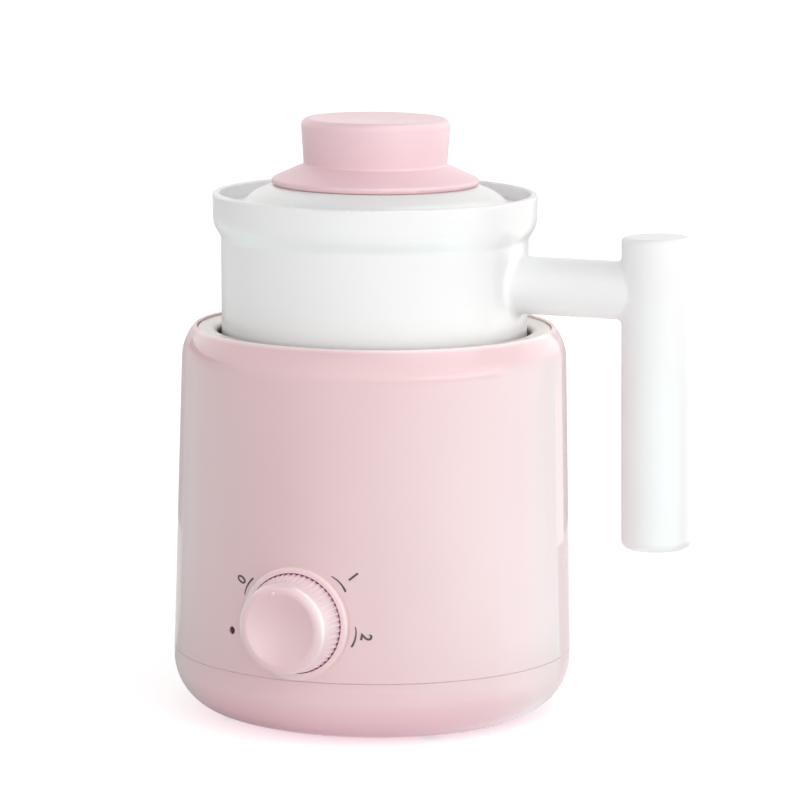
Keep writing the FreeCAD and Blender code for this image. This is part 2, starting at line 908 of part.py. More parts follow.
# Rotary switch and control knob, built along Z and laid to face the front
def rotary_switch():
    body = rounded_block(switch_size, switch_size, switch_rear, switch_seat, switch_round)
    cover_high = switch_rear + switch_cover
    cover = rounded_block(switch_cover_size, switch_cover_size, switch_rear, cover_high, switch_round)
    bush = rod(bush_radius, switch_seat - overcut, bush_tip)
    tab = block(switch_tab_width, tab_sheet, switch_rear - switch_tab_length, switch_rear)
    tabs = [moved(tab, x=column * switch_tab_spacing) for column in COLUMNS]
    bore = rod(shaft_radius + fit_clearance, shaft_inner_end - shaft_end_gap, bush_tip + overcut)
    return dial_place(body.multiFuse([cover, bush] + tabs).cut(bore))


def switch_washer():
    high = dial_pocket_floor + washer_thickness
    return dial_place(tube(washer_radius, bush_radius + fit_clearance, dial_pocket_floor, high))


def switch_nut():
    low = dial_pocket_floor + washer_thickness
    high = low + switch_nut_height
    return dial_place(hexagon(switch_nut_flats, low, high).cut(rod(bush_radius + fit_clearance, low, high)))


def switch_shaft():
    """Shaft that is round in the bush and flatted in the knob."""
    flat_from = bush_tip + knob_hub_clearance / 2
    round_part = rod(shaft_radius, shaft_inner_end, flat_from)
    flat_part = flatted_rod(shaft_radius, shaft_flat, flat_from, knob_inside_front)
    return dial_place(round_part.fuse(flat_part))


def knob_body():
    """Tapered knob with a rounded front edge, a dished face and a softened brow round the dish."""
    body = turned([
        (0, knob_rear),
        (knob_radius, knob_rear),
        (knob_front_radius, knob_front, knob_round),
        (0, knob_front),
    ])
    dish_radius = (knob_face_radius ** 2 + knob_dish ** 2) / (2 * knob_dish)
    dish_centre = FreeCAD.Vector(0, 0, knob_front + dish_radius - knob_dish)
    dish = Part.makeSphere(dish_radius, dish_centre, FreeCAD.Vector(1, 0, 0))
    dished = body.cut(dish)
    brow = edges_where(dished, lambda point: abs(axis_distance(point) - knob_face_radius) < touch)
    return dished.makeFillet(knob_brow_round, brow)


def control_knob():
    """Hollow knob on a hub, with fine ribs round its side and a raised pip on its brow."""
    low = knob_rear - overcut
    hollow = tube(knob_radius - knob_wall, knob_hub_radius, low, knob_inside_front)
    hub_trim = rod(knob_hub_radius + overcut, low, bush_tip + knob_hub_clearance)
    bore_top = knob_inside_front + fit_clearance
    bore = flatted_rod(shaft_radius + fit_clearance, shaft_flat + fit_clearance, low, bore_top)
    groove = rod(rib_groove_radius, low, knob_front + overcut)
    side_slope = knob_taper / (knob_front - knob_rear)
    groove_tilt = math.degrees(math.atan(side_slope - rib_depth / rib_length))
    groove.rotate(FreeCAD.Vector(0, 0, knob_rear), FreeCAD.Vector(0, 1, 0), -groove_tilt)
    groove_circle = knob_radius + rib_groove_radius - rib_depth
    grooves = round_pattern(groove, groove_circle, [360 / rib_count * i for i in range(rib_count)])
    knob = knob_body().cut(Part.makeCompound([hollow, hub_trim, bore])).cut(Part.makeCompound(grooves))
    pip_top = knob_front + pip_height
    pip = turned([
        (0, knob_front - overcut),
        (pip_radius, knob_front - overcut),
        (pip_radius, pip_top, pip_height),
        (0, pip_top),
    ])
    return dial_place(knob.fuse(at_polar(pip, knob_face_radius, 90 - pip_angle)))


# Pilot lamp, built along Z and laid to face out of the wall
def lens_seat():
    """Distance from the base's axis to the lens flange."""
    return body_radius_at(lamp_height) - wall - lens_seat_gap


def indicator_lens():
    seat = lens_seat()
    face = body_radius_at(lamp_height) - lens_recess
    return lamp_place(turned([
        (0, seat - lens_flange),
        (lens_flange_radius, seat - lens_flange),
        (lens_flange_radius, seat),
        (lens_radius, seat),
        (lens_radius, face, lens_round),
        (0, face),
    ]))


def lamp_rear():
    """Distance from the base's axis to the lamp's rear end."""
    return lens_seat() - lens_flange - lamp_length


def indicator_lamp():
    front = lens_seat() - lens_flange
    return lamp_place(turned([
        (0, lamp_rear()),
        (lamp_radius, lamp_rear()),
        (lamp_radius, front, lamp_round),
        (0, front),
    ]))


# Power inlet, built along Z and laid to face the back
def inlet_outline(width, tall, low, high):
    """Prism whose two upper corners are cut off, the outline of a mains inlet."""
    x = width / 2
    y = tall / 2
    return prism([
        (-x, -y),
        (x, -y),
        (x, y - inlet_chamfer),
        (x - inlet_chamfer, y),
        (inlet_chamfer - x, y),
        (-x, y - inlet_chamfer),
    ], low, high)


def pin_rise(column):
    """The middle pin sits above the socket's centre and the outer two below it."""
    return pin_offset if column == 0 else -pin_offset


def inlet_pin_prisms(low, high, clearance=0.0):
    """Three flat pins side by side."""
    pin = block(pin_thickness + 2 * clearance, pin_width + 2 * clearance, low, high)
    return [moved(pin, column * pin_spacing, pin_rise(column)) for column in COLUMNS]


def power_inlet():
    margin = 2 * inlet_bezel_margin
    bezel = rounded_block(
        inlet_width + margin, inlet_tall + margin, inlet_pad_face, inlet_face, inlet_bezel_round
    )
    body = inlet_outline(inlet_width, inlet_tall, inlet_rear, inlet_pad_face + inlet_bezel_thickness / 2)
    inset = 2 * inlet_socket_wall
    socket_floor = inlet_face - inlet_socket_depth
    socket = inlet_outline(inlet_width - inset, inlet_tall - inset, socket_floor, inlet_face + overcut)
    slots = inlet_pin_prisms(inlet_rear - overcut, inlet_face, fit_clearance)
    return inlet_place(bezel.fuse(body).cut(Part.makeCompound([socket] + slots)))


def inlet_pins():
    tip = inlet_face - inlet_socket_depth + pin_reach
    return [inlet_place(pin) for pin in inlet_pin_prisms(inlet_rear - pin_tail_length, tip)]


# Wiring: each run ends square on the terminal that it serves
def pin_tail(column):
    """Centre of an inlet pin's rear end."""
    return (-column * pin_spacing, inlet_rear - pin_tail_length, inlet_height + pin_rise(column))


def switch_tail(column):
    """Centre of a switch tab's rear end."""
    return (column * switch_tab_spacing, switch_tab_length - switch_rear, dial_height)


def terminal_tail(index):
    """Centre of an element terminal's lower end."""
    return (*tube_leg_places()[index], terminal_end)


def thermostat_tail(side):
    """Centre of a thermostat tab's lower end."""
    return (side * thermostat_tab_offset, 0, thermostat_bottom - thermostat_tab_length)


def fuse_tail(side):
    """Centre of the end of a fuse lead."""
    return (fuse_place[0] + side * (fuse_length / 2 + fuse_lead), fuse_place[1], fuse_height)


def lamp_tail(side):
    """Where one of the lamp's leads leaves its rear end, and the next point straight out."""
    turn = math.radians(lamp_angle)
    inward = FreeCAD.Vector(-math.sin(turn), math.cos(turn), 0)
    across = FreeCAD.Vector(math.cos(turn), math.sin(turn), 0)
    start = across * side * lamp_radius / 2 - inward * lamp_rear() + Z_AXIS * lamp_height
    return [start, start + inward * lamp_length]


def live_wire():
    start = pin_tail(-1)
    stop = switch_tail(1)
    bend = off(stop, x=live_side, y=live_back, z=-wire_hang)
    return wire([start, off(start, y=-pin_lead), bend, off(stop, y=tab_lead), stop])


def neutral_wire():
    start = pin_tail(1)
    stop = terminal_tail(1)
    bend = off(stop, y=-neutral_reach, z=-wire_hang)
    return wire([start, off(start, y=-pin_lead), bend, off(stop, z=-wire_hang), stop])


def earth_wire():
    start = pin_tail(0)
    return wire([start, off(start, y=-pin_lead), (*earth_place, start[2]), (*earth_place, shield_under)])


def heater_wires():
    """Switch to thermostat, thermostat to fuse, and fuse to element."""
    start = switch_tail(-1)
    stop = thermostat_tail(-1)
    bend = off(stop, y=-thermostat_reach, z=-wire_hang)
    first = [start, off(start, y=tab_lead), bend, off(stop, z=-wire_hang), stop]
    start = thermostat_tail(1)
    stop = fuse_tail(-1)
    low = off(start, z=-fuse_loop)
    second = [start, low, (stop[0] - fuse_loop, stop[1], low[2]), off(stop, x=-fuse_loop), stop]
    start = fuse_tail(1)
    stop = terminal_tail(0)
    bend = off(start, x=fuse_loop, y=fuse_reach, z=-fuse_hang)
    third = [start, off(start, x=fuse_loop), bend, off(stop, z=-terminal_hang), stop]
    return [wire(route, bend=tight_bend) for route in (first, second, third)]


def lamp_wires():
    """Lamp to switch, and lamp to the side of the neutral pin."""
    stop = switch_tail(0)
    first = lamp_tail(1) + [off(stop, x=-lamp_loop, y=tab_lead, z=-lamp_loop), off(stop, y=lamp_lead), stop]
    stop = off(pin_tail(1), x=-pin_thickness / 2, y=pin_tail_length / 2)
    corner = off(stop, x=-lamp_side, y=-pin_lead, z=-lamp_hang)
    second = lamp_tail(-1) + [off(corner, y=-lamp_run), corner, off(stop, x=-lamp_lead), stop]
    return [wire(route, lamp_wire_radius, tight_bend) for route in (first, second)]


# Ceramic pot
def pot_outside():
    return turned([
        (0, plate_top),
        (pot_bottom_radius, plate_top, pot_bottom_round),
        (pot_neck_radius, pot_neck_height, neck_round),
        (pot_neck_radius + band_step, pot_rim_height - band_drop, band_round),
        (pot_rim_radius, pot_rim_height, rim_round),
        (0, pot_rim_height),
    ])


def pot_inside():
    floor = plate_top + pot_floor
    return turned([
        (0, floor),
        (pot_inner_radius, floor, pot_inner_round),
        (pot_inner_radius, pot_ledge, ledge_round),
        (rim_inner_radius, pot_ledge, ledge_round),
        (rim_inner_radius, pot_rim_height + overcut),
        (0, pot_rim_height + overcut),
    ])


def handle_arm():
    """Round arm along X from inside the pot's wall to the grip's axis."""
    return moved(bar_x(arm_radius, pot_neck_radius - pot_wall / 2 - arm_fillet, grip_axis), z=arm_height)


def handle_grip():
    """Round grip that leans out a little towards its lower end."""
    grip = moved(turned([
        (0, grip_bottom),
        (grip_bottom_radius, grip_bottom, grip_bottom_round),
        (grip_top_radius, grip_top, grip_top_round),
        (0, grip_top),
    ]), x=grip_axis)
    grip.rotate(FreeCAD.Vector(grip_axis, 0, arm_height), FreeCAD.Vector(0, 1, 0), -grip_lean)
    return grip


def ceramic_pot():
    """Pot, arm and grip fired as one piece, with soft fillets where they meet."""
    solid = pot_outside().multiFuse([handle_arm(), handle_grip()])

    def on_arm(point):
        return math.hypot(point.y, point.z - arm_height) < arm_radius + touch

    def at_pot(point):
        return on_arm(point) and 0 < point.x < pot_neck_radius + touch

    def at_grip(point):
        return on_arm(point) and grip_axis - grip_bottom_radius - grip_fillet < point.x < grip_axis

    solid = solid.makeFillet(arm_fillet, edges_where(solid, at_pot))
    solid = solid.makeFillet(grip_fillet, edges_where(solid, at_grip))
    solid = solid.cut(pot_inside())

    def at_rim(point):
        return abs(axis_distance(point) - rim_inner_radius) < touch and abs(point.z - pot_rim_height) < touch

    return solid.makeFillet(rim_inner_round, edges_where(solid, at_rim))


# Lid
def lid_top_at(radius):
    """Height of the lid's crown under the knob."""
    return lid_crown_height - lid_crown_slope * (radius - lid_crown_radius)


def lid():
    """Domed ceramic lid with a brim that sits on the pot's ledge and a spigot that centres it."""
    spigot_radius = pot_inner_radius - lid_clearance
    spigot_inner = spigot_radius - lid_spigot_wall
    spigot_bottom = pot_ledge - lid_spigot_depth
    return turned([
        (lid_hole_radius, lid_under),
        (lid_hole_radius, lid_crown_height),
        (lid_crown_radius, lid_crown_height),
        (skirt_radius, lid_dome_height, lid_dome_round),
        (lid_flank_radius, lid_dome_height - lid_flank_drop, lid_flank_round),
        (lid_brim_radius - lid_brim_width, lid_brim_top, lid_brim_round),
        (lid_brim_radius, lid_brim_top, lid_brim_round),
        (lid_brim_radius, pot_ledge, lid_edge_round),
        (spigot_radius, pot_ledge),
        (spigot_radius, spigot_bottom, lid_edge_round),
        (spigot_inner, spigot_bottom, lid_edge_round),
        (spigot_inner, lid_brim_top - lid_wall, lid_inner_round),
        (skirt_radius - lid_wall / 2, lid_dome_height - lid_wall, lid_dome_round),
        (lid_crown_radius, lid_under),
    ])


def lid_knob():
    """Hollow knob with a flared skirt, a waist, and a slightly dished top."""
    skirt_bottom = lid_top_at(skirt_radius) + skirt_seat
    skirt_inner = skirt_radius - 2 * skirt_thickness
    waist_inner = waist_radius - crown_wall
    bore = knob_screw_radius + fit_clearance
    bore_top = knob_screw_seat + knob_screw_length + overcut
    return turned([
        (bore, lid_crown_height),
        (crown_boss_radius, lid_crown_height),
        (crown_boss_radius, crown_inside),
        (waist_inner, crown_inside, crown_inner_round),
        (waist_inner, waist_height - crown_wall / 2, crown_inner_round),
        (skirt_inner, lid_top_at(skirt_inner) + skirt_seat),
        (skirt_radius, skirt_bottom, skirt_round),
        (skirt_radius, skirt_bottom + skirt_thickness, skirt_round),
        (waist_radius, waist_height, waist_round),
        (waist_radius + crown_flare, crown_height, crown_round),
        (0, crown_height - crown_dish),
        (0, bore_top),
        (bore, bore_top),
    ])


def knob_washer():
    low = lid_under - knob_washer_thickness
    return tube(knob_washer_radius, knob_screw_radius + fit_clearance, low, lid_under)


def knob_screw():
    low = knob_screw_seat - knob_screw_head_height
    head = turned([
        (0, low),
        (knob_screw_head_radius, low, knob_screw_head_round),
        (knob_screw_head_radius, knob_screw_seat),
        (0, knob_screw_seat),
    ])
    return rod(knob_screw_radius, knob_screw_seat, knob_screw_seat + knob_screw_length).fuse(head)


# Every piece, in the place where it is assembled
stud = rod(stud_radius, stud_tip, well_floor + stud_embed)
spacer = tube(spacer_radius, stud_radius + fit_clearance, shield_top, well_under)
os.makedirs("parts", exist_ok=True)
export("housing", housing())
export("base_cover", base_cover())
export("foot_ring", foot_ring())
export("base_screws", *round_pattern(base_screw(), post_circle, POST_ANGLES))
export("heating_well", heating_well())
export("heater_plate", heater_plate())
export("heating_tube", heating_tube())
export("heater_terminals", *[moved(heater_terminal(), x, y) for x, y in tube_leg_places()])
export("heater_studs", *round_pattern(stud, stud_circle, STUD_ANGLES))
export("stud_spacers", *round_pattern(spacer, stud_circle, STUD_ANGLES))
export("stud_nuts", *round_pattern(stud_nut(), stud_circle, STUD_ANGLES))
export("heat_shield", heat_shield())
export("shield_screws", *round_pattern(shield_screw(), ear_circle, EAR_ANGLES))
export("thermostat", thermostat())
export("thermostat_screws", *[moved(thermostat_screw(), x=side * thermostat_screw_offset) for side in SIDES])
export("thermal_fuse", thermal_fuse())
export("fuse_clip", fuse_clip())
export("rotary_switch", rotary_switch())
export("switch_washer", switch_washer())
export("switch_nut", switch_nut())
export("switch_shaft", switch_shaft())
export("control_knob", control_knob())
export("indicator_lens", indicator_lens())
export("indicator_lamp", indicator_lamp())
export("power_inlet", power_inlet())
export("inlet_pins", *inlet_pins())
export("live_wire", live_wire())
export("neutral_wire", neutral_wire())
export("earth_wire", earth_wire())
export("heater_wires", *heater_wires())
export("lamp_wires", *lamp_wires())
export("ceramic_pot", ceramic_pot())
export("lid", lid())
export("lid_knob", lid_knob())
export("knob_washer", knob_washer())
export("knob_screw", knob_screw())
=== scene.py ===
import json
import math

import bpy
from mathutils import Matrix, Vector


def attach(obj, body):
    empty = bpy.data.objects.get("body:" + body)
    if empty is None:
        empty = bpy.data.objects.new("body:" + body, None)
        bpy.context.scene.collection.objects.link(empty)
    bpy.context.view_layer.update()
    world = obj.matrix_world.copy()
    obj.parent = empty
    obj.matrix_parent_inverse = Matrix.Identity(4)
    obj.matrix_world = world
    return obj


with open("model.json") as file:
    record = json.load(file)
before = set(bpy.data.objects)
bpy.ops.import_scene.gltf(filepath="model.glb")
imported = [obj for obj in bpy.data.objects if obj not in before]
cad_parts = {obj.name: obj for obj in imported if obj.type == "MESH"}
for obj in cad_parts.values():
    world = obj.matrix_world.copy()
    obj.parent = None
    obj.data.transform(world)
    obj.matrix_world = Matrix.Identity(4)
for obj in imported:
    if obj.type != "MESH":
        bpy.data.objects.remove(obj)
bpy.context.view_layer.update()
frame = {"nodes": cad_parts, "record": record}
nodes = frame["nodes"]
scene = bpy.context.scene

# Sizes shared with the CAD, in metres
BODY_RADIUS = 0.0675
BODY_DRAFT = math.tan(math.radians(1.45))
SEAM_HEIGHT = 0.0223
DIAL_HEIGHT = 0.0416
DIAL_RECESS_RADIUS = 0.01677
DIAL_RECESS_FLOOR = 0.0661
DIAL_BOSS_FACE = 0.0677


# Materials
def srgb(red, green, blue):
    """A linear colour from 8-bit display values."""
    def linear(value):
        value /= 255
        return value / 12.92 if value <= 0.04045 else ((value + 0.055) / 1.055) ** 2.4

    return (linear(red), linear(green), linear(blue), 1.0)


def shade(colour, factor):
    return (*(channel * factor for channel in colour[:3]), 1.0)


class Look:
    """A node material on a Principled shader, with its detail in object coordinates, in metres."""

    def __init__(self, name, **sockets):
        self.material = bpy.data.materials.new(name)
        self.material.use_nodes = True
        tree = self.material.node_tree
        self.nodes, self.links = tree.nodes, tree.links
        self.shader = self.nodes["Principled BSDF"]
        self.coordinates = self.nodes.new("ShaderNodeTexCoord").outputs["Object"]
        for socket, value in sockets.items():
            self.shader.inputs[socket.replace("_", " ")].default_value = value

    def node(self, kind, inputs, **settings):
        """Adds a node; each input is a socket to link or a plain value."""
        made = self.nodes.new("ShaderNode" + kind)
        for key, value in settings.items():
            setattr(made, key, value)
        for key, value in inputs.items():
            if isinstance(value, bpy.types.NodeSocket):
                self.links.new(value, made.inputs[key])
            else:
                made.inputs[key].default_value = value
        return made

    def number(self, operation, *values):
        return self.node("Math", dict(enumerate(values)), operation=operation).outputs[0]

    def vector(self, operation, first, second):
        return self.node("VectorMath", {0: first, 1: second}, operation=operation).outputs

    def noise(self, scale, detail, rough=0.5, vector=None):
        """Noise with a scale in grains per metre."""
        vector = vector or self.coordinates
        inputs = {"Vector": vector, "Scale": scale, "Detail": detail, "Roughness": rough}
        return self.node("TexNoise", inputs).outputs["Fac"]

    def spots(self, scale):
        """Distance to scattered points, for pores."""
        inputs = {"Vector": self.coordinates, "Scale": scale}
        return self.node("TexVoronoi", inputs).outputs["Distance"]

    def rings(self, across, around):
        """Coordinates that run round the Z axis, for turned and spun surfaces."""
        x, y, z = self.node("SeparateXYZ", {"Vector": self.coordinates}).outputs
        square = self.number("MULTIPLY_ADD", y, y, self.number("MULTIPLY", x, x))
        radius = self.number("SQRT", square)
        angle = self.number("ARCTAN2", y, x)
        joined = self.node("CombineXYZ", {"X": radius, "Y": angle, "Z": z}).outputs[0]
        inputs = {"Vector": joined, "Scale": (across, around, across)}
        return self.node("Mapping", inputs).outputs["Vector"]

    def span(self, value, low, high, start=0.3, stop=0.7):
        """Values from start to stop, stretched to run from low to high."""
        inputs = {"Value": value, "From Min": start, "From Max": stop, "To Min": low, "To Max": high}
        return self.node("MapRange", inputs).outputs["Result"]

    def ramp(self, value, *stops):
        """Colour along (place, colour) stops."""
        made = self.node("ValToRGB", {"Fac": value})
        elements = made.color_ramp.elements
        while len(elements) < len(stops):
            elements.new(0.5)
        for element, (place, colour) in zip(elements, stops):
            element.position = place
            element.color = colour
        return made.outputs["Color"]

    def mottle(self, colour, low, high, scale, detail):
        """Faint mottling, from a darker shade of the colour to a paler one."""
        stops = ((0.35, shade(colour, low)), (0.65, shade(colour, high)))
        return self.ramp(self.noise(scale, detail), *stops)

    def tint(self, distance, stops):
        """Tint that changes with a distance, from (distance, tint) stops."""
        first, last = stops[0][0], stops[-1][0]
        share = self.span(distance, 0.0, 1.0, first, last)
        along = (((at - first) / (last - first), (*tint, 1.0)) for at, tint in stops)
        return self.ramp(share, *along)

    def colour(self, colour, *tints):
        """Base colour, times its tints."""
        for tint in tints:
            colour = self.vector("MULTIPLY", colour, tint)["Vector"]
        self.links.new(colour, self.shader.inputs["Base Color"])

    def clouded(self, pattern, colour, dark):
        """Base colour that a pattern darkens to a share of itself."""
        self.colour(self.ramp(pattern, (0.3, shade(colour, dark)), (0.7, colour)))

    def rough(self, pattern, low, high):
        """Roughness that varies with a pattern."""
        self.links.new(self.span(pattern, low, high), self.shader.inputs["Roughness"])

    def bump(self, pattern, distance, strength):
        """Adds one layer of relief, its height in metres; layers stack."""
        socket = self.shader.inputs["Normal"]
        inputs = {"Height": pattern, "Distance": distance, "Strength": strength}
        if socket.links:
            inputs["Normal"] = socket.links[0].from_socket
        self.links.new(self.node("Bump", inputs).outputs["Normal"], socket)


PLAIN = (1.0, 1.0, 1.0)
# Painted light on the body, by height: a painted pale bounce below the seam that deepens to painted
# magenta shade at the foot, and a painted highlight that pales the lip
PAINTED_LIGHT_BY_HEIGHT = (
    (0.0, (0.92, 0.62, 0.8)),
    (0.004, (1.02, 0.85, 0.95)),
    (0.009, (1.06, 1.0, 1.04)),
    (0.0155, (1.11, 1.12, 1.12)),
    (SEAM_HEIGHT, PLAIN),
    (0.1306, PLAIN),
    (0.1316, (1.2, 1.36, 1.33)),
)
# A painted highlight pales the collar round the dial, by distance from the middle of the boss
COLLAR_PAINTED_HIGHLIGHT = ((0.0187, (1.12, 1.22, 1.19)), (0.0192, PLAIN))
# A painted highlight pales the dial's outer band and brow, by distance from its axis
DIAL_PAINTED_HIGHLIGHT = ((0.0128, PLAIN), (0.0145, (1.0, 1.08, 1.07)), (0.015, (1.12, 1.36, 1.34)))


def gloss_pink():
    """Pearly pink moulded plastic with a clear gloss."""
    look = Look("body_pink", IOR=1.5, Coat_Weight=0.45, Coat_Roughness=0.04)
    mottle = look.mottle(srgb(223, 188, 192), 0.985, 1.01, 14.0, 3.0)
    # Painted bounce light and shade towards the foot, and a painted highlight on the lip, by height
    height = look.node("SeparateXYZ", {"Vector": look.coordinates}).outputs["Z"]
    # Painted highlight on the collar, by distance from the middle of the boss
    boss = (0.0, -DIAL_BOSS_FACE, DIAL_HEIGHT)
    reach = look.vector("DISTANCE", look.coordinates, boss)["Value"]
    look.colour(mottle, look.tint(height, PAINTED_LIGHT_BY_HEIGHT), look.tint(reach, COLLAR_PAINTED_HIGHLIGHT))
    look.rough(look.noise(60.0, 3.0), 0.38, 0.42)
    look.bump(look.noise(160.0, 1.0), 0.00002, 0.1)
    return look.material


def matte_pink():
    """Soft-touch lid knob."""
    look = Look("knob_pink", IOR=1.5, Specular_IOR_Level=0.6, Coat_Weight=0.3, Coat_Roughness=0.35)
    look.colour(look.mottle(srgb(231, 196, 203), 0.98, 1.01, 40.0, 4.0))
    look.rough(look.noise(300.0, 3.0), 0.46, 0.54)
    look.bump(look.noise(700.0, 2.0), 0.00002, 0.2)
    return look.material


def satin_pink():
    """Control dial, a lighter satin moulding."""
    look = Look("dial_pink", IOR=1.6, Coat_Weight=0.75, Coat_Roughness=0.15)
    mottle = look.mottle(srgb(232, 193, 198), 0.985, 1.01, 60.0, 2.0)
    # Painted highlight on the dial's outer band and brow, by distance from its axis
    flat = look.vector("MULTIPLY", look.coordinates, (1.0, 0.0, 1.0))["Vector"]
    reach = look.vector("DISTANCE", flat, (0.0, 0.0, DIAL_HEIGHT))["Value"]
    look.colour(mottle, look.tint(reach, DIAL_PAINTED_HIGHLIGHT))
    look.rough(look.noise(500.0, 3.0), 0.285, 0.315)
    look.bump(look.noise(400.0, 1.0), 0.00001, 0.1)
    return look.material


def glazed_white():
    """Fired white glaze: faint pooling, a slow wave in the gloss and a few pin pores."""
    look = Look("pot_white", IOR=1.5, Specular_IOR_Level=0.4, Coat_Weight=0.12, Coat_Roughness=0.03)
    look.clouded(look.noise(18.0, 4.0), (0.88, 0.885, 0.885, 1.0), 0.985)
    look.rough(look.noise(60.0, 3.0), 0.28, 0.36)
    look.bump(look.noise(45.0, 1.0), 0.00006, 0.1)
    pores = look.span(look.spots(420.0), 0.0, 1.0, 0.0, 0.06)
    look.bump(pores, 0.00003, 0.3)
    return look.material


def drawn_metal():
    """Spun pale metal with fine turning lines."""
    look = Look("well_metal", Metallic=1.0)
    lines = look.noise(1.0, 3.0, 0.6, look.rings(2600.0, 3.0))
    look.clouded(lines, srgb(194, 190, 187), 0.9)
    look.rough(lines, 0.26, 0.38)
    look.bump(lines, 0.00002, 0.4)
    return look.material


def cast_metal():
    """Grey casting with a grainy skin."""
    look = Look("cast_metal", Metallic=1.0)
    grain = look.noise(700.0, 4.0, 0.6)
    look.clouded(grain, srgb(176, 178, 180), 0.8)
    look.rough(grain, 0.42, 0.6)
    look.bump(grain, 0.00008, 0.5)
    return look.material


def plated(name, colour, cloud, low, high, grain):
    """Plated or polished metal, by the scale of its clouds, its roughness and the scale of its grain."""
    look = Look(name, Metallic=1.0)
    look.clouded(look.noise(cloud, 4.0), colour, 0.82)
    look.rough(look.noise(900.0, 3.0), low, high)
    look.bump(look.noise(grain, 2.0), 0.00002, 0.3)
    return look.material


def sheath():
    """Heat-tinted element sheath."""
    look = Look("element_sheath", Metallic=1.0)
    heat = look.noise(90.0, 4.0)
    stops = ((0.3, srgb(92, 84, 78)), (0.55, srgb(128, 116, 104)), (0.75, srgb(110, 104, 120)))
    look.colour(look.ramp(heat, *stops))
    look.rough(look.noise(800.0, 3.0), 0.35, 0.55)
    look.bump(look.noise(1200.0, 3.0), 0.00003, 0.4)
    return look.material


def moulded(name, colour, low, high, grain):
    """Plain moulded plastic or rubber, by its roughness and the scale of its spark-eroded grain."""
    look = Look(name, IOR=1.5)
    look.clouded(look.noise(120.0, 4.0), colour, 0.9)
    look.rough(look.noise(700.0, 3.0), low, high)
    look.bump(look.noise(grain, 3.0), 0.00004, 0.5)
    return look.material


def lens():
    """Deep purple tinted lens."""
    look = Look("lens_purple", IOR=1.45, Specular_IOR_Level=0.2, Transmission_Weight=0.1)
    look.clouded(look.noise(500.0, 3.0), srgb(88, 18, 66), 0.8)
    look.rough(look.noise(900.0, 2.0), 0.2, 0.3)
    return look.material


def lamp_glass():
    """Clear bulb of the pilot lamp."""
    look = Look("lamp_glass", IOR=1.5, Transmission_Weight=0.85)
    look.clouded(look.noise(300.0, 3.0), srgb(244, 236, 228), 0.9)
    look.rough(look.noise(700.0, 2.0), 0.05, 0.14)
    look.bump(look.noise(400.0, 2.0), 0.00003, 0.2)
    return look.material


def wire_cover(name, colour):
    """Sleeved or extruded wire cover."""
    look = Look(name, IOR=1.46)
    look.clouded(look.noise(400.0, 3.0), colour, 0.86)
    look.rough(look.noise(1200.0, 3.0), 0.36, 0.5)
    look.bump(look.noise(2400.0, 2.0), 0.00003, 0.4)
    return look.material


def ink():
    """Pad-printed dial marks."""
    look = Look("dial_ink", IOR=1.45, Specular_IOR_Level=0.3)
    look.clouded(look.noise(900.0, 3.0), srgb(90, 78, 82), 0.88)
    look.rough(look.noise(1400.0, 2.0), 0.4, 0.52)
    look.bump(look.noise(3000.0, 2.0), 0.00001, 0.3)
    return look.material


# Each material under the name of its slot in the record; the purple is painted shade for the rings round
# and on the dial
materials = {
    "body_pink": gloss_pink(),
    "knob_pink": matte_pink(),
    "dial_pink": satin_pink(),
    "pot_white": glazed_white(),
    "well_metal": drawn_metal(),
    "cast_metal": cast_metal(),
    "steel": plated("steel", srgb(196, 199, 204), 260.0, 0.25, 0.4, 1500.0),
    "element_sheath": sheath(),
    "brass": plated("brass", srgb(214, 178, 104), 300.0, 0.22, 0.38, 1600.0),
    "black_plastic": moulded("black_plastic", srgb(38, 37, 40), 0.38, 0.52, 1500.0),
    "tan_plastic": moulded("tan_plastic", srgb(150, 106, 70), 0.4, 0.55, 900.0),
    "lens_purple": lens(),
    "lamp_glass": lamp_glass(),
    # Purple that paints the shade in the dial's gap
    "painted_shade_purple": moulded("painted_shade_purple", srgb(148, 36, 114), 0.5, 0.65, 900.0),
    "rubber_foot": moulded("rubber_foot", srgb(92, 88, 90), 0.6, 0.78, 1100.0),
    "seal_white": moulded("seal_white", srgb(226, 226, 222), 0.45, 0.6, 900.0),
    "fuse_white": moulded("fuse_white", srgb(228, 224, 214), 0.4, 0.55, 1600.0),
    "wire_brown": wire_cover("wire_brown", srgb(110, 68, 42)),
    "wire_blue": wire_cover("wire_blue", srgb(52, 104, 176)),
    "wire_green": wire_cover("wire_green", srgb(92, 156, 62)),
    "wire_white": wire_cover("wire_white", srgb(224, 222, 214)),
}
slots = {row["node"]: row["material_slot"] for row in frame["record"]["subparts"]}
for name, node in nodes.items():
    node.data.materials.clear()
    node.data.materials.append(materials[slots[name]])

# Dial marks, printed on the housing round the dial, in metres and in degrees clockwise from the top
INK = ink()
INK_PROUD = 0.00006
INK_SUNK = 0.00006
ARC_BOW = 0.009
ARC_HALF_SWEEP = 22.5
ARC_THIN = 0.0003
ARC_THICK = 0.00072
ARC_STEPS = 24
ARC_ROUND_FROM = 0.94
ARC_TIP = 0.15
NUMERAL_HEIGHT = 0.0036
NUMERAL_BOLDNESS = 0.02
NUMERAL_CURVE_STEPS = 6
# Angle and distance from the dial's centre
ARCS = {"mark_off": (-59.1, 0.02095), "mark_low": (46.9, 0.02087), "mark_high": (100.2, 0.02075)}
NUMERALS = {"0": (-59.0, 0.02397), "1": (49.8, 0.0255), "2": (98.5, 0.02406)}


def add_piece(name, mesh, material, body):
    mesh.materials.append(material)
    piece = bpy.data.objects.new(name, mesh)
    scene.collection.objects.link(piece)
    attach(piece, body)
    return piece


def on_housing(across, up, proud):
    """Point on the housing's wall, given its place across and above the dial's centre."""
    height = DIAL_HEIGHT + up
    radius = BODY_RADIUS - BODY_DRAFT * (height - SEAM_HEIGHT) + proud
    return Vector((across, -math.sqrt(radius * radius - across * across), height))


